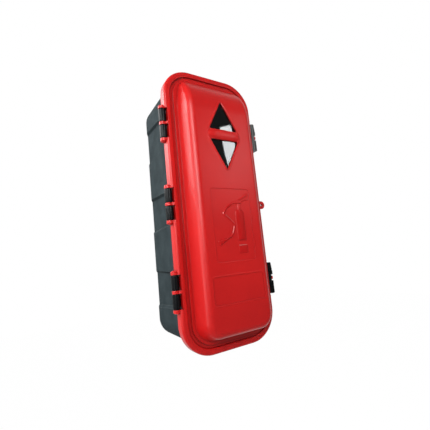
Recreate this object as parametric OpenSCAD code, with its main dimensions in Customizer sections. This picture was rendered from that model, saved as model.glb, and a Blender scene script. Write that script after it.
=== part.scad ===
// Wall-mounted plastic cabinet for a portable fire extinguisher, in millimetres.
// It is drawn lying on its back: x to the right, y up its height, z out of the wall.
// Each piece is then stood up: z up, the door facing -y, the wall at y = 0.

/* [Cabinet] */
// Overall height, over the door's rim
cabinet_h = 700; // [660:10:800]
// Overall width, over the door's rim
cabinet_w = 265; // [250:5:320]
// Corner radius of the door's rim
corner_r = 75; // [70:1:90]
// Thickness of the moulded skin of the tub and the door
skin = 3; // [2.5:0.1:3.5]

/* [Tub] */
// Depth of the tub, from the wall to its front edge
tub_d = 180; // [165:1:200]
// How far the tub's sides stand inside the door's rim
side_in = 12.5; // [12:0.5:14]
// How far the tub's top and bottom stand inside the door's rim
end_in = 20; // [16:0.5:21]
// Corner radius of the tub at its front edge
tub_corner_r = 52; // [48:1:58]
// How much further in the tub's sides stand at the wall
tub_draft = 4; // [1:0.5:6]
// Radius of the tub's edge at the wall
tub_back_r = 18; // [10:1:24]
// Width of the flange that turns inward at the tub's front
flange_w = 8; // [6:0.5:10]

/* [Side recesses] */
// Depth of the recesses in the tub's sides
recess_d = 6.5; // [5:0.5:8]
// Height of a recess where it runs out at the wall
recess_h = 94; // [90:1:110]
// How much each end of a recess leans in, from the wall to the front
recess_lean = 11; // [6:0.5:13]
// Slope of a recess's ends, away from square to the side
recess_slope = 42; // [20:1:50]

/* [Door] */
// Depth of the rim, from front to back
rim_d = 22; // [21:0.5:23]
// Rounding of the rim's front edge
rim_edge_r = 6; // [4:0.5:7]
// Width of the rim's front face, rounding included
rim_face_w = 16; // [15:0.5:17]
// Depth of the groove inside the rim
groove_d = 4; // [3:0.5:5]
// Width of the groove inside the rim
groove_w = 8; // [6:0.5:10]
// Width of the step at the foot of the raised panel
step_w = 8; // [6:0.5:9]
// Height of that step above the rim's front face
step_h = 1; // [0.5:0.5:3]
// How far the raised panel stands in front of the rim
panel_raise = 46; // [40:1:52]
// Slope of the panel's sides, away from square to the rim
panel_slope = 14; // [10:1:16]
// Rounding of the panel's edge
panel_r = 17; // [14:1:18]
// Slope that the panel's top end curves down to, at the step
top_slope = 54; // [48:1:58]

/* [Window] */
// Width of the diamond window
window_w = 97; // [80:1:104]
// Height of the diamond window
window_h = 179; // [150:1:190]
// Height of the window's middle above mid-height
window_up = 165.7; // [150:0.1:180]
// Rounding of the window's corners
window_r = 3; // [1:0.5:5]
// Height of the bar across the window
bar_h = 26; // [18:1:32]
// How far the bar bulges in front of the panel
bar_bulge = 5; // [2:0.5:7]
// Thickness of the clear pane
pane_t = 2; // [1.5:0.5:3]
// How far the pane laps behind the door round the window
pane_lap = 9; // [6:1:11]

/* [Sunk fields] */
// Width of the upper field, which is sunk into the panel's face
sign_w = 112; // [90:1:120]
// Height of the upper field
sign_h = 173; // [140:1:180]
// Depth of the upper field's middle below mid-height
sign_down = 58; // [50:1:70]
// Width of the lower field
plate_w = 144; // [110:1:146]
// Height of the lower field
plate_h = 61; // [40:1:70]
// Depth of the lower field's middle below mid-height
plate_down = 207; // [195:1:215]
// How far the fields are sunk
field_d = 0.8; // [0.4:0.1:1.2]
// Rounding of the fields' corners
field_r = 7; // [3:1:12]

/* [Hinges] */
// Distance from the middle hinge to the others, and between the latches and mid-height
hinge_pitch = 200; // [180:5:215]
// Distance between one knuckle and the next
knuckle_pitch = 41.5; // [39:0.5:43]
// Thickness of a knuckle
knuckle_t = 7; // [5:0.5:9]
// Radius of the hinge barrels
barrel_r = 8.8; // [8:0.1:9.5]
// Radius of the hinge and latch pins
pin_r = 2.2; // [2:0.1:2.6]
// How far outside the rim the hinge pins stand
hinge_out = 2.9; // [2.5:0.1:3.5]
// Height of the arm that holds a hinge barrel to the tub
arm_h = 22; // [16:1:26]

/* [Latches] */
// Height of a latch
latch_h = 82; // [74:1:88]
// Radius of a latch's barrel, round its pin
latch_r = 8; // [7.5:0.1:8.5]
// How far a latch's lower half stands out from its pin
latch_out = 8.8; // [8.5:0.1:10]
// How much a latch's upper half narrows towards its top
latch_taper = 4; // [2:0.5:5]
// Height of the gap in a latch round the door's lug
latch_gap_h = 16; // [14:0.5:20]
// Thickness of the door's lug in that gap
latch_lug_t = 9; // [7:0.5:10]
// How far the latch's tail reaches back from its pin
tail_l = 40; // [36:1:44]
// Depth of the notches that let the latches into the rim
latch_notch = 3; // [2:0.5:4]

/* [Seal lugs] */
// Outer radius of the lugs that take a seal
lug_r = 11; // [10:0.5:12]
// Radius of their hole
lug_hole_r = 3.3; // [2.5:0.1:4]
// How far outside the rim that hole stands
lug_out = 6; // [5:0.5:8]
// Thickness of the lugs
lug_t = 5; // [4:0.5:6]

/* [Wall fixing] */
// Distance between the fixing holes across the tub
fixing_w = 120; // [100:5:140]
// Distance between the fixing holes up the tub
fixing_h = 420; // [360:10:460]
// Radius of the fixing holes
fixing_r = 4.5; // [3.5:0.5:5.5]

/* [Hidden] */
$fn = 64;

gap = 0.3;
run = 0.6;
pin_fit = 0.1;
cut = 1;
far = 60;
arc_steps = 8;
red = [0.75, 0.12, 0.11];
grey = [0.29, 0.33, 0.34];
black = [0.07, 0.07, 0.08];
steel = [0.6, 0.6, 0.62];

half_w = cabinet_w / 2;
half_h = cabinet_h / 2;

// Depths out of the wall
gasket_t = 4;
rim_front = tub_d + gasket_t + skin + groove_d;
rim_back = rim_front - rim_d;
groove_z = rim_front - groove_d;
step_z = rim_front + step_h;
panel_z = rim_front + panel_raise;

// Places across the rim, measured in from its outer edge
rim_in_r = 3;
step_u = rim_face_w + groove_w;
wall_u = step_u + step_w;
wall_rise = panel_z - panel_r + panel_r * sin(panel_slope) - step_z;
round_u = wall_u + wall_rise * tan(panel_slope) + panel_r * cos(panel_slope);

// The panel's top end
top_r = (panel_z - step_z) / (1 - cos(top_slope));
top_y = half_h - wall_u - top_r * sin(top_slope);
bend_over = 12;
foot_lap = 1;

// The tub
tub_half_w = half_w - side_in;
tub_half_h = half_h - end_in;
flange_t = skin;
recess_x = tub_half_w - recess_d;
recess_front = tub_d - 2 * skin;

// Hinge and latch pins, and the pieces that hold them
hinge_x = half_w + hinge_out;
pin_in = 8;
pin_z = rim_back + pin_in;
barrel_h = knuckle_pitch - knuckle_t - 2 * run;
bore_l = 2 * knuckle_pitch + knuckle_t / 2;
arm_t = 4;
arm_z = recess_front - gap;
foot_t = 3;
foot_in = 40;
foot_z = tub_d - foot_in;
latch_x = half_w + latch_r + run;
latch_bridge = 5;
latch_web = 2;
latch_clear = 4;
latch_bend = 6;
pocket_t = 2;
hinge_notch = barrel_r + run - hinge_out;
tail_in = latch_x - tub_half_w - 4;
tail_t = 4;
keeper_gap = 0.8;
keeper_h = 50;

// Points of an arc round a centre, from one angle to another
function arc(centre, r, from, to, steps = arc_steps) =
    [for (i = [0:steps]) let (a = from + (to - from) * i / steps)
        [centre.x + r * cos(a), centre.y + r * sin(a)]];

// Turns points measured in from an edge into distances out from its corner's centre
function outward(points, r) = [for (p = points) [r - p.x, p.y]];

function unit(v) = v / norm(v);

// The short way round between two angles
function short_turn(a) = a > 180 ? a - 360 : (a < -180 ? a + 360 : a);

// Arc that rounds the corner p between its neighbours a and b
function round_corner(a, p, b, r) =
    let (u = unit(a - p), v = unit(b - p), half = acos(u * v) / 2,
         centre = p + unit(u + v) * r / sin(half),
         first = p + u * r / tan(half) - centre,
         last = p + v * r / tan(half) - centre,
         from = atan2(first.y, first.x),
         turn = short_turn(atan2(last.y, last.x) - from))
    arc(centre, r, from, from + turn, 4);

// A shape with all its corners rounded
function rounded(points, r) =
    let (n = len(points))
    [for (i = [0:n - 1])
        each round_corner(points[(i + n - 1) % n], points[i], points[(i + 1) % n], r)];

// Depth of a recess's floor from mid-width, which follows the tub's draft
function floor_x(z) = recess_x - tub_draft * (1 - z / tub_d);

module upright() {
    rotate([90, 0, 0])
        children();
}

// Extrudes a section drawn in x and z along the height, about a given height
module along(h, y = 0) {
    translate([0, y, 0])
        rotate([90, 0, 0])
            linear_extrude(h, center = true)
                children();
}

// Carries a half section round a rounded oblong, from its corners' centres outward
module carry(across, up) {
    for (side = [0, 1])
        mirror([side, 0, 0])
            rotate([90, 0, 0])
                linear_extrude(up, center = true)
                    translate([across / 2, 0])
                        children();
    for (turn = [0, 180])
        rotate(turn)
            translate([0, up / 2, 0])
                rotate([90, 0, 90])
                    linear_extrude(across, center = true)
                        children();
    for (sx = [-1, 1], sy = [-1, 1])
        translate([sx * across / 2, sy * up / 2, 0])
            rotate(sy > 0 ? (sx > 0 ? 0 : 90) : (sx > 0 ? 270 : 180))
                rotate_extrude(angle = 90)
                    children();
}

// The middle that such a sweep leaves open
module middle(across, up, z0, z1) {
    translate([-across / 2, -up / 2, z0])
        cube([across, up, z1 - z0]);
}

// Tub

tub_across = 2 * (tub_half_w - tub_corner_r);
tub_up = 2 * (tub_half_h - tub_corner_r);

// Half section of the tub's outside, or of its inside once it is drawn in by the skin
module tub_section(inset, z0, z1) {
    r = tub_back_r - inset;
    wall = tub_draft + inset;
    back = wall - tub_draft * z0 / tub_d;
    polygon(concat(
        [[0, z0]],
        outward(concat(
            arc([back + r, z0 + r], r, 270, 180),
            [[wall - tub_draft * z1 / tub_d, z1]]), tub_corner_r),
        [[0, z1]]));
}

// Keeps what lies between a recess's two ends
module recess_side(grow) {
    lean = atan(recess_lean / recess_front);
    translate([-recess_x, recess_h / 2 + grow, 0])
        rotate([lean, 0, 0])
            rotate(-recess_slope)
                translate([-2 * far, -4 * far, -far])
                    cube([4 * far, 4 * far, recess_front + 2 * far]);
}

// A recess of the left side. Grown by the skin, it is the bump on the tub's inner face
module recess(grow) {
    intersection() {
        along(recess_h + 2 * far)
            polygon([[-half_w, -cut], [-floor_x(-cut) + grow, -cut],
                     [-floor_x(recess_front + grow) + grow, recess_front + grow],
                     [-half_w, recess_front + grow]]);
        recess_side(grow);
        mirror([0, 1, 0])
            recess_side(grow);
    }
}

module recesses(grow) {
    for (side = [0, 1], row = [-1:1])
        mirror([side, 0, 0])
            translate([0, row * hinge_pitch, 0])
                recess(grow);
}

// Ear with a hole, from the side at x0 out to the middle of its hole
module seal_lug(x0, z0) {
    x1 = half_w + lug_out;
    translate([0, 0, z0])
        difference() {
            union() {
                intersection() {
                    translate([x1, 0, 0])
                        cylinder(r = lug_r, h = lug_t);
                    translate([x0, -lug_r, 0])
                        cube([far, 2 * lug_r, lug_t]);
                }
                translate([x0, -lug_r, 0])
                    cube([x1 - x0, 2 * lug_r, lug_t]);
            }
            translate([x1, 0, -cut])
                cylinder(r = lug_hole_r, h = lug_t + 2 * cut);
        }
}

module body_shell() {
    color(grey)
        upright() {
            difference() {
                union() {
                    carry(tub_across, tub_up)
                        tub_section(0, 0, tub_d);
                    middle(tub_across, tub_up, 0, tub_d);
                }
                recesses(0);
                difference() {
                    union() {
                        carry(tub_across, tub_up)
                            tub_section(skin, skin, tub_d - flange_t);
                        middle(tub_across, tub_up, skin, tub_d + cut);
                    }
                    recesses(skin);
                }
                carry(tub_across, tub_up)
                    translate([0, tub_d - flange_t - cut])
                        square([tub_corner_r - flange_w, flange_t + 2 * cut]);
                for (sx = [-1, 1], sy = [-1, 1])
                    translate([sx * fixing_w / 2, sy * fixing_h / 2, -cut])
                        cylinder(r = fixing_r, h = skin + 2 * cut);
            }
            seal_lug(recess_x - skin / 2, rim_back - 2 * lug_t);
        }
}

module door_gasket() {
    color(black)
        upright()
            carry(tub_across, tub_up)
                translate([tub_corner_r - flange_w + skin / 2, tub_d])
                    square([flange_w - skin, gasket_t - gap]);
}

// Sleeve round a pin, centred at a given place across the cabinet and height
module barrel(x, y, r, h) {
    along(h, y)
        translate([x, pin_z])
            circle(r);
}

// Hinges

module hinge_clip(y) {
    color(black)
        upright()
            mirror([1, 0, 0])
                difference() {
                    union() {
                        barrel(hinge_x, y, barrel_r, barrel_h);
                        along(arm_h, y)
                            polygon([[hinge_x, arm_z], [floor_x(arm_z) + gap, arm_z],
                                     [floor_x(foot_z) + gap, foot_z],
                                     [floor_x(foot_z) + gap + foot_t, foot_z],
                                     [floor_x(arm_z) + gap + foot_t, arm_z - arm_t],
                                     [hinge_x, arm_z - arm_t]]);
                    }
                    barrel(hinge_x, y, pin_r + pin_fit, barrel_h + 2 * cut);
                }
}

module hinge_pin(y) {
    color(steel)
        upright()
            barrel(-hinge_x, y, pin_r, bore_l - 2 * gap);
}

module latch_keeper(y) {
    ridge_x = latch_x - tail_in - keeper_gap;
    color(black)
        upright()
            along(keeper_h, y)
                polygon([[floor_x(arm_z) + gap, arm_z],
                         [floor_x(foot_z) + gap, foot_z],
                         [ridge_x - foot_t, foot_z], [ridge_x, foot_z + foot_t],
                         [ridge_x, foot_z + 2 * foot_t],
                         [floor_x(arm_z) + gap + foot_t, foot_z + 4 * foot_t],
                         [floor_x(arm_z) + gap + foot_t, arm_z]]);
}

// Door

door_across = cabinet_w - 2 * corner_r;
door_up = cabinet_h - 2 * corner_r;

// Half section of the door from its rim to the step, out along the front and back inside
module rim_section() {
    edge = [rim_edge_r, rim_front - rim_edge_r];
    bead = [rim_face_w - rim_in_r, rim_front - rim_in_r];
    polygon(outward(concat(
        [[0, rim_back]],
        arc(edge, rim_edge_r, 180, 90),
        arc(bead, rim_in_r, 90, 0),
        [[rim_face_w, groove_z], [step_u, groove_z], [step_u, step_z],
         [wall_u + step_w, step_z], [wall_u + step_w, step_z - skin],
         [step_u + skin, step_z - skin], [step_u + skin, groove_z - skin],
         [rim_face_w - skin, groove_z - skin], [rim_face_w - skin, rim_front - skin]],
        arc(edge, rim_edge_r - skin, 90, 180),
        [[skin, rim_back]]), corner_r));
}

// Points of the raised panel's edge, measured in from the rim, for a skin drawn in by an inset
function panel_edge(inset, foot) =
    let (shoulder = [round_u, panel_z - panel_r],
         wall = wall_u + inset / cos(panel_slope) + (foot - step_z) * tan(panel_slope))
    concat([[wall, foot]], arc(shoulder, panel_r - inset, 180 - panel_slope, 90));

// The panel's section at its top end: across the door, and out from the bend's centre
function panel_across(inset) =
    let (centre = panel_z - top_r,
         side = [for (p = panel_edge(inset, centre)) [half_w - p.x, p.y - centre]])
    concat(side, [for (i = [len(side) - 1:-1:0]) [-side[i].x, side[i].y]]);

// The panel's top end, which curves down from the face and on past the step
module panel_top(inset) {
    translate([0, top_y, panel_z - top_r])
        rotate([0, -90, 0])
            rotate_extrude(angle = top_slope + bend_over)
                polygon([for (p = panel_across(inset)) [p.y, p.x]]);
}

// The raised panel as a solid, from a foot up, with its skin drawn in by an inset
module panel(inset, foot) {
    foot_u = wall_u - foot_lap + inset / cos(panel_slope) - inset * tan(panel_slope);
    intersection() {
        union() {
            carry(door_across, door_up)
                polygon(outward(concat([[corner_r, foot]], panel_edge(inset, foot),
                                       [[corner_r, panel_z - inset]]), corner_r));
            middle(door_across, door_up, foot, panel_z - inset);
        }
        translate([-half_w, -half_h, 0])
            cube([cabinet_w, half_h + top_y, panel_z + cut]);
    }
    intersection() {
        panel_top(inset);
        union() {
            carry(door_across, door_up)
                translate([0, foot])
                    square([corner_r - foot_u, panel_z - foot]);
            middle(door_across, door_up, foot, panel_z);
        }
    }
}

// One half of the window, above or below the bar
module window_half(side) {
    foot = bar_h / 2;
    reach = window_w / 2 * (1 - bar_h / window_h);
    translate([0, window_up])
        polygon(rounded([[-reach, side * foot], [0, side * window_h / 2], [reach, side * foot]],
                        window_r));
}

// Bar across the window, which swells in front of the face and sinks into it at its ends
module window_bar() {
    chord = bar_h / 2;
    r = (chord * chord + bar_bulge * bar_bulge) / (2 * bar_bulge);
    reach = window_w / 2;
    fade = reach / 2;
    end_r = (fade * fade + bar_bulge * bar_bulge) / (2 * bar_bulge);
    turn = asin(fade / end_r);
    intersection() {
        translate([0, window_up, panel_z + bar_bulge - r])
            rotate([0, 90, 0])
                rotate_extrude()
                    polygon(concat(
                        [[0, -reach]],
                        arc([r - end_r, fade - reach], end_r, -turn, 0),
                        arc([r - end_r, reach - fade], end_r, 0, turn),
                        [[0, reach]]));
        translate([-half_w, -half_h, panel_z - skin / 2])
            cube([cabinet_w, cabinet_h, far]);
    }
}

// Block inside the rim that a notch h high is cut into: what is left closes the rim
module notch_block(x, y, h, in, foot) {
    turned = x < 0 ? 1 : 0;
    mirror([turned, 0, 0])
        along(h + 2 * pocket_t, y)
            translate([half_w - in - pocket_t, foot])
                square([in + pocket_t - skin / 2, rim_front - skin / 2 - foot]);
}

module notch(x, y, h, in) {
    turned = x < 0 ? 1 : 0;
    mirror([turned, 0, 0])
        along(h, y)
            translate([half_w - in, rim_back - cut])
                square([far, rim_d + 2 * cut]);
}

// What a shallow field takes out of the panel's face
module field(w, h, down) {
    translate([0, -down, panel_z - field_d])
        linear_extrude(field_d + cut)
            polygon(rounded([[-w / 2, -h / 2], [w / 2, -h / 2], [w / 2, h / 2], [-w / 2, h / 2]],
                            field_r));
}

// The door's lug for a latch: a web from the rim, an eye for the pin and a nose outside it
module latch_lug(y) {
    eye_r = latch_bridge - run;
    along(latch_lug_t, y)
        translate([latch_x, pin_z]) {
            circle(eye_r);
            translate([half_w - latch_notch - pocket_t / 2 - latch_x, rim_back - pin_z])
                square([latch_x - half_w + latch_notch + pocket_t / 2, pin_in - latch_web]);
            translate([0, -eye_r])
                square([latch_out - run, 2 * eye_r - run]);
        }
}

module door_shell() {
    hinge_h = barrel_h + 2 * run;
    catch_h = latch_h + 2 * latch_clear;
    color(red)
        upright()
            difference() {
                union() {
                    difference() {
                        union() {
                            carry(door_across, door_up)
                                rim_section();
                            panel(0, step_z - skin);
                            window_bar();
                            for (row = [-1:1], side = [-1, 1])
                                notch_block(-1, row * hinge_pitch + side * knuckle_pitch / 2,
                                            hinge_h, hinge_notch, pin_z);
                            for (row = [-1, 1])
                                notch_block(1, row * hinge_pitch, catch_h, latch_notch, rim_back);
                        }
                        panel(skin, step_z - skin - cut);
                        for (side = [-1, 1])
                            translate([0, 0, step_z])
                                linear_extrude(panel_raise + cut)
                                    window_half(side);
                        field(sign_w, sign_h, sign_down);
                        field(plate_w, plate_h, plate_down);
                        for (row = [-1:1], side = [-1, 1])
                            notch(-1, row * hinge_pitch + side * knuckle_pitch / 2,
                                  hinge_h, hinge_notch);
                        for (row = [-1, 1])
                            notch(1, row * hinge_pitch, catch_h, latch_notch);
                    }
                    for (row = [-1:1], k = [-1:1])
                        barrel(-hinge_x, row * hinge_pitch + k * knuckle_pitch, barrel_r, knuckle_t);
                    for (row = [-1, 1])
                        latch_lug(row * hinge_pitch);
                }
                for (row = [-1:1])
                    barrel(-hinge_x, row * hinge_pitch, pin_r + pin_fit, bore_l);
                for (row = [-1, 1])
                    barrel(latch_x, row * hinge_pitch, pin_r + pin_fit, latch_h);
            }
}

// The pane lies against the door's inner face, and bends with it at the top
module window_pane() {
    grow = pane_lap / sin(atan(window_w / window_h));
    stretch = grow * window_w / window_h;
    foot = panel_z - panel_raise / 2;
    color([0.8, 0.85, 0.88, 0.4])
        upright()
            intersection() {
                difference() {
                    panel(skin, foot);
                    panel(skin + pane_t, foot - cut);
                }
                translate([0, window_up, 0])
                    linear_extrude(panel_z)
                        polygon(rounded([[-window_w / 2 - stretch, 0],
                                         [0, window_h / 2 + grow],
                                         [window_w / 2 + stretch, 0],
                                         [0, -window_h / 2 - grow]],
                                        window_r + pane_lap / 2));
            }
}

module door_seal_eye() {
    color(red)
        upright()
            seal_lug(half_w, rim_front - rim_edge_r - lug_t + 2);
}

// Latches

module latch_pin(y) {
    color(steel)
        upright()
            barrel(latch_x, y, pin_r, latch_h - 2 * skin);
}

// A latch seen along its pin, from the pin's centre
module latch_section() {
    circle(latch_r);
    polygon([[0, -latch_r + 1], [latch_out, -latch_r + 2], [latch_out, latch_r + 0.5],
             [latch_out - 1, latch_r + 1.5], [0, latch_r + 1.5], [-2, latch_r - 0.5]]);
    polygon([[-latch_r + 1.5, -4.5], [-latch_r + 1, -latch_r - 2],
             [-tail_in, -latch_r - latch_bend],
             [-tail_in, -tail_l], [-tail_in + tail_t, -tail_l],
             [-tail_in + tail_t, -latch_r - latch_bend - tail_t + 1],
             [-1, -latch_r - 4], [3, -latch_r + 1]]);
}

// A latch seen from the front, from the pin's centre
module latch_outline() {
    top = latch_h / 2;
    slot = latch_gap_h / 2;
    polygon(concat(
        [[-tail_in - cut, top], [latch_out - latch_taper, top], [latch_out, slot],
         [latch_out - 6, slot], [latch_out - 6, -slot], [latch_out + cut, -slot]],
        arc([latch_out - 5, -top + 5], 5, 0, -90),
        arc([-latch_r + 5, -top + 5], 5, 270, 180),
        [[-latch_r, -top / 2], [-tail_in - cut, -top / 2]]));
}

module latch(y) {
    grip = latch_h / 4;
    color(black)
        upright()
            difference() {
                intersection() {
                    along(latch_h, y)
                        translate([latch_x, pin_z])
                            latch_section();
                    translate([latch_x, y, 0])
                        linear_extrude(panel_z)
                            latch_outline();
                }
                along(latch_gap_h, y)
                    translate([latch_x - tail_in, pin_z - latch_r - 5])
                        square([tail_in + far, latch_r + 5 + latch_bridge]);
                along(latch_gap_h, y)
                    translate([latch_x - far - latch_bridge, pin_z])
                        square([far, far]);
                barrel(latch_x, y, pin_r + pin_fit, latch_h + 2 * cut);
                for (side = [-1, 1])
                    along(1.5, y + side * grip)
                        translate([latch_x - far, pin_z + latch_r])
                            square([2 * far, far]);
            }
}

// Nodes

module hinge_clip_upper_top() {
    hinge_clip(hinge_pitch + knuckle_pitch / 2);
}

module hinge_clip_upper_bottom() {
    hinge_clip(hinge_pitch - knuckle_pitch / 2);
}

module hinge_clip_middle_top() {
    hinge_clip(knuckle_pitch / 2);
}

module hinge_clip_middle_bottom() {
    hinge_clip(-knuckle_pitch / 2);
}

module hinge_clip_lower_top() {
    hinge_clip(-hinge_pitch + knuckle_pitch / 2);
}

module hinge_clip_lower_bottom() {
    hinge_clip(-hinge_pitch - knuckle_pitch / 2);
}

module hinge_pin_upper() {
    hinge_pin(hinge_pitch);
}

module hinge_pin_middle() {
    hinge_pin(0);
}

module hinge_pin_lower() {
    hinge_pin(-hinge_pitch);
}

module latch_keeper_upper() {
    latch_keeper(hinge_pitch);
}

module latch_keeper_lower() {
    latch_keeper(-hinge_pitch);
}

module latch_pin_upper() {
    latch_pin(hinge_pitch);
}

module latch_pin_lower() {
    latch_pin(-hinge_pitch);
}

module latch_upper() {
    latch(hinge_pitch);
}

module latch_lower() {
    latch(-hinge_pitch);
}

body_shell();
door_gasket();
hinge_clip_upper_top();
hinge_clip_upper_bottom();
hinge_clip_middle_top();
hinge_clip_middle_bottom();
hinge_clip_lower_top();
hinge_clip_lower_bottom();
hinge_pin_upper();
hinge_pin_middle();
hinge_pin_lower();
latch_keeper_upper();
latch_keeper_lower();
door_shell();
window_pane();
door_seal_eye();
latch_pin_upper();
latch_pin_lower();
latch_upper();
latch_lower();
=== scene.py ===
import math

import bpy
import bmesh
import numpy as np
from mathutils import Matrix, Vector


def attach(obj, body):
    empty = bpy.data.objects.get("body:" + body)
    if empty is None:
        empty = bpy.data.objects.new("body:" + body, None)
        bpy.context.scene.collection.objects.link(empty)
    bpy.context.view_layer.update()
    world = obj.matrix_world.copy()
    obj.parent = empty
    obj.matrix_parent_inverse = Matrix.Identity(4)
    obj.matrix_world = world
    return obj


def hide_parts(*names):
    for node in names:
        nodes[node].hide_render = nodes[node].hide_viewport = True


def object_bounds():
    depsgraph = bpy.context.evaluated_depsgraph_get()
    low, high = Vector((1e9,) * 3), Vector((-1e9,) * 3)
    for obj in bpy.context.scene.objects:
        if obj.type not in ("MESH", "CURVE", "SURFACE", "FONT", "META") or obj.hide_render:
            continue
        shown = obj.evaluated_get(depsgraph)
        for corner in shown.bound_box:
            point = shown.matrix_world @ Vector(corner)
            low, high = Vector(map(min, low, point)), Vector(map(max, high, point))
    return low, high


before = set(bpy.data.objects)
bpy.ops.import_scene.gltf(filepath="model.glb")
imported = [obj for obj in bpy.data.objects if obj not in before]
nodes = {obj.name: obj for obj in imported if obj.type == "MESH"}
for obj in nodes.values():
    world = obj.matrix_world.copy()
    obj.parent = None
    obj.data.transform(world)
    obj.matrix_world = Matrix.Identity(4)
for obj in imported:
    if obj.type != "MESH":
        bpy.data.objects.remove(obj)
cad_box = [list(v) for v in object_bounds()]

# Sizes repeated from the part, in metres
FACE_Y = -0.237
FIELD_Y = -0.2362
FIELD_DOWN, FIELD_W, FIELD_H = 0.058, 0.112, 0.173
PLATE_DOWN, PLATE_W, PLATE_H = 0.207, 0.144, 0.061
TOP_Z, TOP_R = 0.2297, 0.1092
WINDOW_Z, WINDOW_W, WINDOW_H, BAR_H = 0.1657, 0.097, 0.179, 0.026
BAR_BULGE = 0.005
HINGE_X, HINGE_Y = -0.1354, -0.177
PITCH, KNUCKLE_PITCH, KNUCKLE_T = 0.200, 0.0415, 0.007
BARREL_R, BARREL_H, PIN_R = 0.0088, 0.0333, 0.0023
FLUTES, FLUTE_STEPS, FLUTE_D, DOME_RISE = 9, 12, 0.0008, 0.0030
FLOOR_X, TUB_DRAFT, TUB_D = 0.1135, 0.004, 0.180
ARM_Y, ARM_T, ARM_H = -0.1737, 0.004, 0.022
FOOT_Y, FOOT_T, FOOT_GAP = -0.140, 0.003, 0.0003
TIP_LOW, TIP_HIGH, TIP_H = (0.1445, -0.1858), (0.1497, -0.1806), 0.0088
SUNK = 0.00003

# Camera, fitted to the photo
FOCAL_PX, PICTURE_PX, SENSOR_MM = 295.5, 430.0, 36.0
AZIMUTH, PITCH_UP, ROLL = -32.74, 8.31, -5.73
PHOTO_SPOT = (-0.4137, -0.8023, -0.1340)
cam_data = bpy.data.cameras.new("camera")
cam_data.sensor_fit = "HORIZONTAL"
cam_data.sensor_width = SENSOR_MM
cam_data.lens = FOCAL_PX * SENSOR_MM / PICTURE_PX
cam_data.clip_start = 0.01
cam = bpy.data.objects.new("camera", cam_data)
bpy.context.scene.collection.objects.link(cam)
az, pitch, roll = math.radians(AZIMUTH), math.radians(PITCH_UP), math.radians(ROLL)
right = Vector((math.cos(az), math.sin(az), 0))
ahead = Vector((-math.sin(az) * math.cos(pitch), math.cos(az) * math.cos(pitch), math.sin(pitch)))
up = right.cross(ahead)
r2 = math.cos(roll) * right + math.sin(roll) * up
u2 = -math.sin(roll) * right + math.cos(roll) * up
cam.matrix_world = Matrix((
    (r2.x, u2.x, -ahead.x, PHOTO_SPOT[0]),
    (r2.y, u2.y, -ahead.y, PHOTO_SPOT[1]),
    (r2.z, u2.z, -ahead.z, PHOTO_SPOT[2]),
    (0, 0, 0, 1)))
bpy.context.scene.camera = cam
bpy.context.scene.view_settings.view_transform = "Standard"

# Studio: a white backdrop where the photo's camera looks, and a dim room elsewhere
BACKDROP_REACH, ROOM_LEVEL, BACKDROP_LEVEL, FLOOR_LEVEL = (0.45, 0.68), 0.14, 1.0, 1.01
FILL_REACH, FILL_LOW, FILL_HIGH = (-0.5, 0.5), 0.20, 0.50
FLOOR_Z, FLOOR_SIZE, FLOOR_GLOW = -1.2, 12, 0.98


def smooth_level(tree, value, reach, low, high):
    """A soft step from low to high while the value crosses its reach"""
    level = tree.nodes.new("ShaderNodeMapRange")
    level.interpolation_type = "SMOOTHSTEP"
    for key, v in (("From Min", reach[0]), ("From Max", reach[1]), ("To Min", low), ("To Max", high)):
        level.inputs[key].default_value = v
    tree.links.new(value, level.inputs["Value"])
    return level.outputs["Result"]


def seen_directly(tree):
    """1 for rays from the camera, off a gloss or through the pane"""
    path = tree.nodes.new("ShaderNodeLightPath")
    seen = path.outputs["Is Camera Ray"]
    for kind in ("Is Glossy Ray", "Is Transmission Ray"):
        larger = tree.nodes.new("ShaderNodeMath")
        larger.operation = "MAXIMUM"
        tree.links.new(seen, larger.inputs[0])
        tree.links.new(path.outputs[kind], larger.inputs[1])
        seen = larger.outputs[0]
    return seen


world = bpy.data.worlds.new("studio")
bpy.context.scene.world = world
world.use_nodes = True
wn, wl = world.node_tree.nodes, world.node_tree.links
wn.clear()
w_out = wn.new("ShaderNodeOutputWorld")
w_light = wn.new("ShaderNodeBackground")
w_light.inputs["Color"].default_value = (1, 1, 1, 1)
w_seen = wn.new("ShaderNodeBackground")
w_seen.inputs["Color"].default_value = (1, 1, 1, 1)
w_coord = wn.new("ShaderNodeTexCoord")
w_dot = wn.new("ShaderNodeVectorMath")
w_dot.operation = "DOT_PRODUCT"
w_dot.inputs[1].default_value = tuple(ahead)
wl.new(w_coord.outputs["Generated"], w_dot.inputs[0])
for node, reach, low, high in ((w_light, FILL_REACH, FILL_LOW, FILL_HIGH),
                               (w_seen, BACKDROP_REACH, ROOM_LEVEL, BACKDROP_LEVEL)):
    wl.new(smooth_level(world.node_tree, w_dot.outputs["Value"], reach, low, high), node.inputs["Strength"])
w_mix = wn.new("ShaderNodeMixShader")
wl.new(seen_directly(world.node_tree), w_mix.inputs["Fac"])
wl.new(w_light.outputs[0], w_mix.inputs[1])
wl.new(w_seen.outputs[0], w_mix.inputs[2])
wl.new(w_mix.outputs[0], w_out.inputs["Surface"])


def area_light(name, place, look_at, size, power, turn=0.0, spread=180.0):
    data = bpy.data.lights.new(name, "AREA")
    data.shape = "RECTANGLE"
    data.size, data.size_y = size
    data.energy = power
    data.spread = math.radians(spread)
    obj = bpy.data.objects.new(name, data)
    bpy.context.scene.collection.objects.link(obj)
    obj.location = place
    aim = Vector(look_at) - Vector(place)
    facing = aim.to_track_quat("-Z", "Y")
    obj.rotation_euler = (facing.to_matrix() @ Matrix.Rotation(math.radians(turn), 3, "Z")).to_euler()


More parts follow.
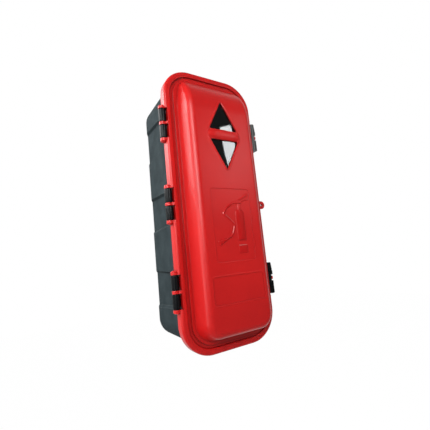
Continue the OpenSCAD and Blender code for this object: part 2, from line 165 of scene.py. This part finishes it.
area_light("softbox_key", (-0.95, -1.25, 0.60), (-0.02, -0.2, 0.03), (0.8, 0.9), 3.9, 0, 70)
area_light("softbox_left", (-1.2, 0.78, 0.95), (-0.1, -0.2, 0.15), (1.1, 1.0), 10.5, 0, 100)
area_light("softbox_side", (-1.5, -0.30, 0.05), (0, -0.2, 0.0), (1.0, 1.2), 9)
area_light("strip_right", (0.606, -1.0, 0.424), (0, -0.237, 0.166), (0.065, 0.40), 0.95, 6)


# Materials: each mixes colour, roughness and relief from procedural noise, with painted shade in grooves
# and creases
class Shader:
    def __init__(self, name):
        self.m = bpy.data.materials.new(name)
        self.m.use_nodes = True
        self.t = self.m.node_tree
        self.b = self.t.nodes["Principled BSDF"]
        self.coord = self.t.nodes.new("ShaderNodeTexCoord").outputs["Object"]

    def link(self, a, b):
        self.t.links.new(a, b)

    def noise(self, scale, detail=3.0, rough=0.5, stretch=None):
        n = self.t.nodes.new("ShaderNodeTexNoise")
        n.inputs["Scale"].default_value = scale
        n.inputs["Detail"].default_value = detail
        n.inputs["Roughness"].default_value = rough
        if stretch:
            mp = self.t.nodes.new("ShaderNodeMapping")
            mp.inputs["Scale"].default_value = stretch
            self.link(self.coord, mp.inputs["Vector"])
            self.link(mp.outputs["Vector"], n.inputs["Vector"])
        else:
            self.link(self.coord, n.inputs["Vector"])
        return n.outputs["Fac"]

    def ramp(self, value, a, b, lo=0.0, hi=1.0):
        n = self.t.nodes.new("ShaderNodeMapRange")
        for key, v in (("From Min", a), ("From Max", b), ("To Min", lo), ("To Max", hi)):
            n.inputs[key].default_value = v
        self.link(value, n.inputs["Value"])
        return n.outputs["Result"]

    def math(self, op, a, b):
        n = self.t.nodes.new("ShaderNodeMath")
        n.operation = op
        for i, v in enumerate((a, b)):
            if isinstance(v, (int, float)):
                n.inputs[i].default_value = v
            else:
                self.link(v, n.inputs[i])
        return n.outputs[0]

    def mix(self, fac, a, b):
        n = self.t.nodes.new("ShaderNodeMix")
        n.data_type = "RGBA"
        self.link(fac, n.inputs[0])
        for i, v in ((6, a), (7, b)):
            if isinstance(v, tuple):
                n.inputs[i].default_value = (*v, 1)
            else:
                self.link(v, n.inputs[i])
        return n.outputs[2]

    def edge(self, radius):
        """1 on the edges of a shape, 0 on its faces, and the rounded normal"""
        bev = self.t.nodes.new("ShaderNodeBevel")
        bev.samples = 4
        bev.inputs["Radius"].default_value = radius
        geo = self.t.nodes.new("ShaderNodeNewGeometry")
        dot = self.t.nodes.new("ShaderNodeVectorMath")
        dot.operation = "DOT_PRODUCT"
        self.link(bev.outputs["Normal"], dot.inputs[0])
        self.link(geo.outputs["Normal"], dot.inputs[1])
        return self.ramp(dot.outputs["Value"], 0.99, 0.8), bev.outputs["Normal"]

    def hollow(self, reach):
        """0 in the open, 1 deep in a groove: the mask of the painted shade in grooves and creases"""
        n = self.t.nodes.new("ShaderNodeAmbientOcclusion")
        n.samples = 8
        n.inputs["Distance"].default_value = reach
        return self.ramp(n.outputs["AO"], 0.92, 0.30)

    def bump(self, height, distance, strength=1.0, normal=None):
        n = self.t.nodes.new("ShaderNodeBump")
        n.inputs["Distance"].default_value = distance
        n.inputs["Strength"].default_value = strength
        self.link(height, n.inputs["Height"])
        if normal is not None:
            self.link(normal, n.inputs["Normal"])
        return n.outputs["Normal"]


# deep sets how strongly shade is painted into grooves and creases
def moulded(name, dark, light, worn, rough, grain, depth, edge=0.0008, specular=0.5, deep=0.6, patch=9.0):
    s = Shader(name)
    patches = s.noise(patch, 4.0)
    mottle = s.noise(160.0, 5.0, 0.6)
    fine = s.noise(grain, 3.0, 0.6)
    rubs = s.noise(30.0, 6.0, 0.65, (1.0, 1.0, 7.0))
    edges, soft = s.edge(edge)
    tone = s.math("ADD", s.math("MULTIPLY", patches, 0.7), s.math("MULTIPLY", mottle, 0.3))
    colour = s.mix(s.ramp(tone, 0.3, 0.7), dark, light)
    wear = s.math("MULTIPLY", edges, s.ramp(rubs, 0.42, 0.68, 0.1, 0.75))
    # Painted shade: in grooves, creases and corners the colour darkens towards shade, a darker copy of the
    # dark tone
    painted_shade = s.math("MULTIPLY", s.hollow(0.017), deep)
    shade = tuple(0.46 * v for v in dark)
    s.link(s.mix(painted_shade, s.mix(wear, colour, worn), shade), s.b.inputs["Base Color"])
    scuff = s.ramp(rubs, 0.55, 0.75, 0.0, 0.10)
    base = s.ramp(mottle, 0.25, 0.75, rough - 0.04, rough + 0.05)
    s.link(s.math("ADD", base, scuff), s.b.inputs["Roughness"])
    swell = s.bump(s.noise(14.0, 2.0), 0.0016, 0.35, soft)
    s.link(s.bump(fine, depth, 0.5, swell), s.b.inputs["Normal"])
    s.b.inputs["Specular IOR Level"].default_value = specular
    return s.m


red = moulded("door_red", (0.53, 0.004, 0.004), (0.62, 0.007, 0.006), (0.66, 0.025, 0.022),
              0.36, 900.0, 0.00012, 0.0014, 0.46, 0.95)
relief_red = moulded("relief_red", (0.46, 0.003, 0.003), (0.53, 0.005, 0.005), (0.62, 0.03, 0.03),
                     0.30, 900.0, 0.00008, 0.0008, 0.40, 0.35)
# A pale red that paints highlights onto thin beads of the sign
relief_painted_highlight = moulded("relief_painted_highlight", (0.60, 0.10, 0.09), (0.72, 0.26, 0.24), (0.80, 0.42, 0.40),
                      0.30, 900.0, 0.00008, 0.0004, 0.50, 0.0)
grey = moulded("tub_grey", (0.020, 0.0285, 0.0315), (0.038, 0.051, 0.0555), (0.27, 0.29, 0.295),
               0.70, 420.0, 0.00120, 0.0020, 0.03, 0.35, 30.0)
black = moulded("clip_black", (0.0025, 0.0035, 0.004), (0.006, 0.007, 0.008), (0.035, 0.038, 0.040),
                0.30, 1100.0, 0.00012, 0.0004, 0.14)
# A lighter, glossier copy of the latch black: painted light on the upper latch, which is the same plastic
# as the lower latch and the clips
latch_lit_black = moulded("latch_lit_black", (0.012, 0.015, 0.015), (0.026, 0.030, 0.030), (0.12, 0.125, 0.13),
                      0.42, 500.0, 0.00050, 0.0009, 0.90)


def foam_material():
    s = Shader("gasket_foam")
    cells = s.noise(1500.0, 2.0, 0.7)
    s.link(s.mix(s.ramp(cells, 0.3, 0.7), (0.008, 0.008, 0.008), (0.035, 0.035, 0.035)),
           s.b.inputs["Base Color"])
    s.b.inputs["Roughness"].default_value = 0.95
    s.link(s.bump(cells, 0.0006, 0.9), s.b.inputs["Normal"])
    return s.m


def steel_material():
    s = Shader("pin_steel")
    s.b.inputs["Metallic"].default_value = 1.0
    turned = s.noise(500.0, 3.0, 0.5, (1.0, 1.0, 0.1))
    s.link(s.mix(s.noise(60.0), (0.42, 0.42, 0.43), (0.62, 0.62, 0.63)), s.b.inputs["Base Color"])
    s.link(s.ramp(turned, 0.3, 0.7, 0.22, 0.42), s.b.inputs["Roughness"])
    s.link(s.bump(turned, 0.00005, 0.6), s.b.inputs["Normal"])
    return s.m


def pane_material():
    s = Shader("pane_clear")
    s.b.inputs["Base Color"].default_value = (0.30, 0.34, 0.36, 1)
    s.b.inputs["Transmission Weight"].default_value = 1.0
    s.b.inputs["IOR"].default_value = 1.49
    s.b.inputs["Specular IOR Level"].default_value = 1.0
    streaks = s.noise(70.0, 5.0, 0.6, (1.0, 1.0, 0.12))
    s.link(s.ramp(streaks, 0.45, 0.80, 0.02, 0.06), s.b.inputs["Roughness"])
    s.link(s.bump(s.noise(18.0, 1.0), 0.0006, 0.25), s.b.inputs["Normal"])
    return s.m


foam, steel, pane = foam_material(), steel_material(), pane_material()


def dress(node, m):
    o = nodes[node]
    o.data.materials.clear()
    o.data.materials.append(m)


for n in nodes:
    if n in ("door_shell", "door_seal_eye"):
        dress(n, red)
    elif n == "body_shell":
        dress(n, grey)
    elif n == "door_gasket":
        dress(n, foam)
    elif n == "window_pane":
        dress(n, pane)
    elif "_pin_" in n:
        dress(n, steel)
    # The upper latch takes the painted-lit copy of the black, and the lower latch the plain black
    elif n == "latch_upper":
        dress(n, latch_lit_black)
    else:
        dress(n, black)


# Mesh helpers
def make(name, verts, faces, material, body):
    mesh = bpy.data.meshes.new(name)
    mesh.from_pydata([tuple(v) for v in verts], [], faces)
    mesh.update()
    bm = bmesh.new()
    bm.from_mesh(mesh)
    bmesh.ops.recalc_face_normals(bm, faces=bm.faces)
    bm.to_mesh(mesh)
    bm.free()
    for p in mesh.polygons:
        p.use_smooth = True
    mesh.materials.append(material)
    obj = bpy.data.objects.new(name, mesh)
    bpy.context.scene.collection.objects.link(obj)
    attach(obj, body)
    return obj


def face_y(z, base=FACE_Y):
    """Front face of the panel at a height, which bends back at the top"""
    over = np.maximum(np.asarray(z) - TOP_Z, 0)
    return base + TOP_R - np.sqrt(TOP_R ** 2 - over ** 2)


def round_path(points, radius, closed=True, step=0.0008):
    """Points of a polyline in x and z with its corners rounded, evenly spaced"""
    pts = [np.array(p, float) for p in points]
    radii = radius if isinstance(radius, (list, tuple)) else [radius] * len(pts)
    out = []
    n = len(pts)
    for i in range(n):
        if not closed and i in (0, n - 1):
            out.append(pts[i])
            continue
        p, a, b = pts[i], pts[i - 1], pts[(i + 1) % n]
        u, v = (a - p) / np.linalg.norm(a - p), (b - p) / np.linalg.norm(b - p)
        half = math.acos(np.clip(u @ v, -1, 1)) / 2
        if half > math.pi / 2 - 0.01 or radii[i] == 0:
            out.append(p)
            continue
        t = radii[i] / math.tan(half)
        c = p + (u + v) / np.linalg.norm(u + v) * radii[i] / math.sin(half)
        p0, p1 = p + u * t, p + v * t
        a0 = math.atan2(*(p0 - c)[::-1])
        da = math.atan2(*(p1 - c)[::-1]) - a0
        da = (da + math.pi) % (2 * math.pi) - math.pi
        k = max(3, int(abs(da) * radii[i] / step))
        out += [c + radii[i] * np.array((math.cos(a0 + da * j / k), math.sin(a0 + da * j / k)))
                for j in range(k + 1)]
    if closed:
        out.append(out[0])
    out = np.array(out)
    d = np.r_[0, np.cumsum(np.linalg.norm(np.diff(out, axis=0), axis=1))]
    m = max(8, int(d[-1] / step))
    s = np.linspace(0, d[-1], m + 1)
    path = np.c_[np.interp(s, d, out[:, 0]), np.interp(s, d, out[:, 1])]
    return path[:-1] if closed else path


def path_normals(path, closed):
    if closed:
        t = np.roll(path, -1, 0) - np.roll(path, 1, 0)
    else:
        t = np.gradient(path, axis=0)
    t /= np.linalg.norm(t, axis=1)[:, None]
    return np.c_[t[:, 1], -t[:, 0]]


def bead(name, path, width, height, closed, base=FACE_Y, fade=0.0, m=None):
    """A smooth raised bead along a path on the door's face"""
    nrm = path_normals(path, closed)
    n, k = len(path), 8
    rise = np.ones(n)
    if not closed and fade > 0:
        d = np.r_[0, np.cumsum(np.linalg.norm(np.diff(path, axis=0), axis=1))]
        edge = np.minimum(d, d[-1] - d) / fade
        rise = np.sin(np.clip(edge, 0, 1) * math.pi / 2)
    verts = []
    for i in range(n):
        for j in range(k + 1):
            t = -1 + 2 * j / k
            bell = math.cos(math.pi / 2 * t) ** 1.3
            x, z = path[i] + nrm[i] * (t * width / 2 * (0.35 + 0.65 * rise[i]))
            verts.append((x, float(face_y(z, base)) + SUNK - height * bell * rise[i], z))
    faces = []
    for i in range(n if closed else n - 1):
        for j in range(k):
            a, b = i * (k + 1) + j, ((i + 1) % n) * (k + 1) + j
            faces.append((a, a + 1, b + 1, b))
    return make(name, verts, faces, m or red, "door")


def swell_patch(name, outline, height, slope, base, crown=0.0, across=None, m=None):
    """A raised patch inside a closed outline: a soft slope round it, flat or crowned inside"""
    nrm = path_normals(outline, True)
    centre = outline.mean(axis=0)
    if np.mean(np.sum(nrm * (outline - centre), axis=1)) > 0:
        nrm = -nrm
    n = len(outline)
    rings = []
    for j in range(5):
        t = j / 4
        rings.append((outline + nrm * slope * t, height * (0.5 - 0.5 * math.cos(math.pi * t))))
    inner = rings[-1][0]
    for j in range(1, 7):
        f = 1 - j / 6.0
        rings.append((across(inner, f) if across else centre + (inner - centre) * max(f, 0.002),
                      height + crown * (1 - f ** 2.2)))
    verts = [(p[0], base + SUNK - h, p[1]) for ring, h in rings for p in ring]
    faces = []
    for r in range(len(rings) - 1):
        for i in range(n):
            a, b = r * n + i, r * n + (i + 1) % n
            faces.append((a, b, b + n, a + n))
    return make(name, verts, faces, m or red, "door")


def box_outline(cx, cz, w, h, r, step=0.0008):
    x0, x1, z0, z1 = cx - w / 2, cx + w / 2, cz - h / 2, cz + h / 2
    return round_path([(x0, z0), (x1, z0), (x1, z1), (x0, z1)], r, True, step)


# Moulded rims of the two sunk fields
bead("sign_field_rim", box_outline(0, -FIELD_DOWN, FIELD_W + 0.0030, FIELD_H + 0.0030, 0.0085),
     0.0034, 0.00030, True)
bead("lower_field_rim", box_outline(0, -PLATE_DOWN, PLATE_W + 0.0036, PLATE_H + 0.0036, 0.0088),
     0.0044, 0.00045, True)


# A plain extinguisher in relief: body, foot, neck, levers, hose and horn
def keep_x(inner, f):
    """Draws a ring in towards its middle line, and only a little in height"""
    cx, cz = (inner.min(axis=0) + inner.max(axis=0)) / 2
    return np.c_[cx + (inner[:, 0] - cx) * max(f, 0.002),
                 cz + (inner[:, 1] - cz) * (1 - 0.08 * (1 - f))]


body_outline = round_path([(0.0085, -0.0985), (0.0345, -0.0985), (0.0345, -0.0215), (0.0085, -0.0215)],
                          [0.002, 0.002, 0.0120, 0.0120], True)
swell_patch("sign_body", body_outline, 0.0009, 0.0016, FIELD_Y, 0.0016, keep_x, m=relief_red)
swell_patch("sign_foot", round_path([(0.0085, -0.1290), (0.0355, -0.1290), (0.0355, -0.1090),
                                     (0.0085, -0.1090)], 0.0022, True),
            0.0009, 0.0020, FIELD_Y, 0.0003, m=relief_red)
# A thin bead in the pale red: a painted highlight along the foot's top ledge
bead("sign_foot_edge", round_path([(0.0100, -0.1086), (0.0345, -0.1086)], 0, False),
     0.0016, 0.0011, False, FIELD_Y, 0.002, m=relief_painted_highlight)
swell_patch("sign_neck", round_path([(0.0170, -0.0240), (0.0270, -0.0240), (0.0265, -0.0080),
                                     (0.0175, -0.0080)], 0.0015, True),
            0.0012, 0.0012, FIELD_Y, 0.0003)
swell_patch("sign_valve", round_path([(0.0035, -0.0085), (0.0290, -0.0085), (0.0290, -0.0005),
                                      (0.0035, -0.0030)], 0.0018, True),
            0.0016, 0.0014, FIELD_Y, 0.0003)
bead("sign_lever_top", round_path([(0.0230, 0.0020), (0.0330, 0.0060), (0.0500, 0.0155)],
                                  0.012, False), 0.0046, 0.0017, False, FIELD_Y, 0.002)
bead("sign_lever_bottom", round_path([(0.0265, -0.0030), (0.0370, 0.0010), (0.0525, 0.0030)],
                                     0.012, False), 0.0044, 0.0016, False, FIELD_Y, 0.002)
bead("sign_hose", round_path([(0.0050, -0.0055), (-0.0150, -0.0180), (-0.0270, -0.0330),
                              (-0.0120, -0.0450), (0.0035, -0.0600), (-0.0030, -0.0800),
                              (-0.0125, -0.0900)],
                             [0, 0.014, 0.0055, 0.02, 0.009, 0.02, 0], False),
     0.0058, 0.0019, False, FIELD_Y, 0.001, m=relief_red)
# A thin bead in the pale red: a painted highlight along the hose's upper edge
bead("sign_hose_edge", round_path([(-0.0215, -0.0345), (-0.0090, -0.0445), (0.0035, -0.0565)],
                                  [0, 0.02, 0], False),
     0.0014, 0.0017, False, FIELD_Y, 0.004, m=relief_painted_highlight)
horn = round_path([(-0.0105, -0.0865), (-0.0150, -0.0925), (-0.0440, -0.1085), (-0.0480, -0.0960)],
                  0.0012, True)
swell_patch("sign_horn", horn, 0.0016, 0.0015, FIELD_Y, 0.0004, m=relief_red)


# Rolled lips along the slanted edges of the window, which end in the bar
def window_lip(name, side):
    foot = BAR_H / 2
    reach = WINDOW_W / 2 * (1 - BAR_H / WINDOW_H)
    along = Vector((reach, WINDOW_H / 2 - foot)).normalized()
    off = 0.0026
    dx = off / along.y
    tip = WINDOW_H / 2 + off / along.x
    pts = [(-reach - dx - along.x * 0.010, side * (foot - along.y * 0.010)),
           (0, side * tip),
           (reach + dx + along.x * 0.010, side * (foot - along.y * 0.010))]
    path = round_path(pts, [0, 0.0055, 0], False)
    path[:, 1] += WINDOW_Z
    return bead(name, path, 0.0050, 0.0015, False, fade=0.012)


window_lip("window_lip_upper", 1)
window_lip("window_lip_lower", -1)


# Fine ribs moulded along the bar
def bar_ribs():
    chord = BAR_H / 2
    r = (chord ** 2 + BAR_BULGE ** 2) / (2 * BAR_BULGE)
    reach = WINDOW_W / 2
    fade = reach / 2
    end_r = (fade ** 2 + BAR_BULGE ** 2) / (2 * BAR_BULGE)
    verts, faces = [], []
    xs = np.linspace(-0.040, 0.040, 61)
    for c in (-0.0088, -0.0056, 0.0042, 0.0074):
        first = len(verts)
        for x in xs:
            past = max(abs(x) - (reach - fade), 0)
            rx = r - end_r + math.sqrt(end_r ** 2 - past ** 2)
            slant = c * (0.75 + 0.25 * math.cos(x / reach * 2.2)) + 0.05 * x
            strength = max(0.0, 1 - (abs(x) / 0.041) ** 4)
            for j in range(5):
                z = slant + (j - 2) * 0.0006
                out = math.sqrt(max(rx ** 2 - z ** 2, 0)) - r + BAR_BULGE
                y = FACE_Y - max(out, 0) + 0.00008 - 0.00034 * strength * math.cos((j - 2) * math.pi / 4)
                verts.append((x, max(y, cad_box[0][1] + 0.00002), WINDOW_Z + z))
        for i in range(len(xs) - 1):
            for j in range(4):
                a = first + i * 5 + j
                faces.append((a, a + 1, a + 6, a + 5))
    return make("window_bar_ribs", verts, faces, red, "door")


bar_ribs()


# Hinges: fluted clips with rounded ends, and domed ends on the outer knuckles
def floor_x(depth):
    return FLOOR_X - TUB_DRAFT * (1 - depth / TUB_D)


def clip_mesh(name, node, z0):
    verts, faces = [], []
    n = FLUTES * FLUTE_STEPS
    half = BARREL_H / 2
    levels = [(-half, 0.0016), (-half + 0.0003, 0.0007), (-half + 0.0010, 0.00015), (-half + 0.0022, 0),
              (half - 0.0022, 0), (half - 0.0010, 0.00015), (half - 0.0003, 0.0007), (half, 0.0016)]
    for i, (z, draw) in enumerate(levels):
        for j in range(n):
            a = 2 * math.pi * j / n
            groove = FLUTE_D * (0.5 - 0.5 * math.cos(2 * math.pi * j / FLUTE_STEPS)) ** 3
            if i in (0, 1, 6, 7):
                groove = 0
            rr = BARREL_R - draw - groove
            verts.append((HINGE_X + rr * math.cos(a), HINGE_Y + rr * math.sin(a), z0 + z))
    rows = len(levels)
    for i in range(rows - 1):
        for j in range(n):
            a, b = i * n + j, i * n + (j + 1) % n
            faces.append((a, b, b + n, a + n))
    inner = len(verts)
    for z in (-half, half):
        for j in range(n):
            a = 2 * math.pi * j / n
            verts.append((HINGE_X + PIN_R * math.cos(a), HINGE_Y + PIN_R * math.sin(a), z0 + z))
    for j in range(n):
        k = (j + 1) % n
        faces.append((j, inner + j, inner + k, k))
        top = (rows - 1) * n
        faces.append((top + j, top + k, inner + n + k, inner + n + j))
        faces.append((inner + j, inner + n + j, inner + n + k, inner + k))
    barrel = make(name, verts, faces, black, "cabinet")
    # Arm
    a_x = -(floor_x(-ARM_Y) + FOOT_GAP)
    f_x = -(floor_x(-FOOT_Y) + FOOT_GAP)
    section = [(HINGE_X, ARM_Y), (a_x, ARM_Y), (f_x, FOOT_Y), (f_x - FOOT_T, FOOT_Y),
               (a_x - FOOT_T, ARM_Y + ARM_T), (HINGE_X, ARM_Y + ARM_T)]
    bm = bmesh.new()
    low = [bm.verts.new((x, y, z0 - ARM_H / 2)) for x, y in section]
    high = [bm.verts.new((x, y, z0 + ARM_H / 2)) for x, y in section]
    m = len(section)
    bm.faces.new(low)
    bm.faces.new(high[::-1])
    for i in range(m):
        bm.faces.new((low[i], high[i], high[(i + 1) % m], low[(i + 1) % m]))
    bmesh.ops.recalc_face_normals(bm, faces=bm.faces)
    bmesh.ops.bevel(bm, geom=list(bm.edges), offset=0.0007, segments=3, profile=0.5, affect="EDGES")
    mesh = bpy.data.meshes.new(name + "_arm")
    bm.to_mesh(mesh)
    bm.free()
    for p in mesh.polygons:
        p.use_smooth = True
    mesh.materials.append(black)
    arm = bpy.data.objects.new(name + "_arm", mesh)
    bpy.context.scene.collection.objects.link(arm)
    arm.parent = barrel
    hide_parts(node)
    return barrel


def dome(name, z0, way):
    verts, faces = [], []
    n, rings, rise = 48, 8, DOME_RISE
    ball = (BARREL_R ** 2 + rise ** 2) / (2 * rise)
    span = math.asin(BARREL_R / ball)
    verts.append((HINGE_X, HINGE_Y, z0 + way * rise))
    for i in range(1, rings + 1):
        t = span * i / rings
        for j in range(n):
            a = 2 * math.pi * j / n
            rr = ball * math.sin(t)
            verts.append((HINGE_X + rr * math.cos(a), HINGE_Y + rr * math.sin(a),
                          z0 + way * (rise - ball * (1 - math.cos(t)))))
    for j in range(n):
        faces.append((0, 1 + j, 1 + (j + 1) % n))
    for i in range(rings - 1):
        for j in range(n):
            a, b = 1 + i * n + j, 1 + i * n + (j + 1) % n
            faces.append((a, b, b + n, a + n))
    return make(name, verts, faces, red, "door")


for row, place in ((1, "upper"), (0, "middle"), (-1, "lower")):
    for side, end in ((1, "top"), (-1, "bottom")):
        clip_mesh("clip_%s_%s" % (place, end), "hinge_clip_%s_%s" % (place, end),
                  row * PITCH + side * KNUCKLE_PITCH / 2)
        dome("knuckle_dome_%s_%s" % (place, end),
             row * PITCH + side * (KNUCKLE_PITCH + KNUCKLE_T / 2), side)


# Rounded tips of the door's lugs, which show in the gaps of the latches
def lug_tip(name, z0):
    bm = bmesh.new()
    bmesh.ops.create_cube(bm, size=1.0)
    lo, hi = TIP_LOW, TIP_HIGH
    for v in bm.verts:
        v.co = ((lo[0] + hi[0]) / 2 + v.co.x * (hi[0] - lo[0]),
                (lo[1] + hi[1]) / 2 + v.co.y * (hi[1] - lo[1]),
                z0 + v.co.z * TIP_H)
    bmesh.ops.bevel(bm, geom=list(bm.edges), offset=0.0014, segments=4, profile=0.5, affect="EDGES")
    verts = [tuple(v.co) for v in bm.verts]
    faces = [[v.index for v in f.verts] for f in bm.faces]
    bm.free()
    return make(name, verts, faces, red, "door")


lug_tip("lug_tip_upper", PITCH)
lug_tip("lug_tip_lower", -PITCH)

# Floor, which blends into the backdrop
bpy.ops.mesh.primitive_plane_add(size=FLOOR_SIZE, location=(0, 0, FLOOR_Z))
floor = bpy.context.object
floor.name = "floor"
fm = bpy.data.materials.new("floor_white")
fm.use_nodes = True
floor.data.materials.append(fm)
ft = fm.node_tree
fb = ft.nodes["Principled BSDF"]
fb.inputs["Base Color"].default_value = (0.9, 0.9, 0.9, 1)
fb.inputs["Roughness"].default_value = 0.9
f_glow = ft.nodes.new("ShaderNodeEmission")
f_glow.inputs["Color"].default_value = (1, 1, 1, 1)
f_way = ft.nodes.new("ShaderNodeNewGeometry").outputs["Position"]
for operation, other in (("SUBTRACT", PHOTO_SPOT), ("NORMALIZE", (0, 0, 0)),
                         ("DOT_PRODUCT", tuple(ahead))):
    f_dot = ft.nodes.new("ShaderNodeVectorMath")
    f_dot.operation = operation
    f_dot.inputs[1].default_value = other
    ft.links.new(f_way, f_dot.inputs[0])
    f_way = f_dot.outputs[0]
f_level = smooth_level(ft, f_dot.outputs["Value"], BACKDROP_REACH, ROOM_LEVEL, FLOOR_LEVEL)
ft.links.new(f_level, f_glow.inputs["Strength"])
f_mix = ft.nodes.new("ShaderNodeMixShader")
f_some = ft.nodes.new("ShaderNodeMath")
f_some.operation = "MULTIPLY"
f_some.inputs[1].default_value = FLOOR_GLOW
ft.links.new(seen_directly(ft), f_some.inputs[0])
ft.links.new(f_some.outputs[0], f_mix.inputs["Fac"])
ft.links.new(fb.outputs[0], f_mix.inputs[1])
ft.links.new(f_glow.outputs[0], f_mix.inputs[2])
ft.links.new(f_mix.outputs[0], ft.nodes["Material Output"].inputs["Surface"])
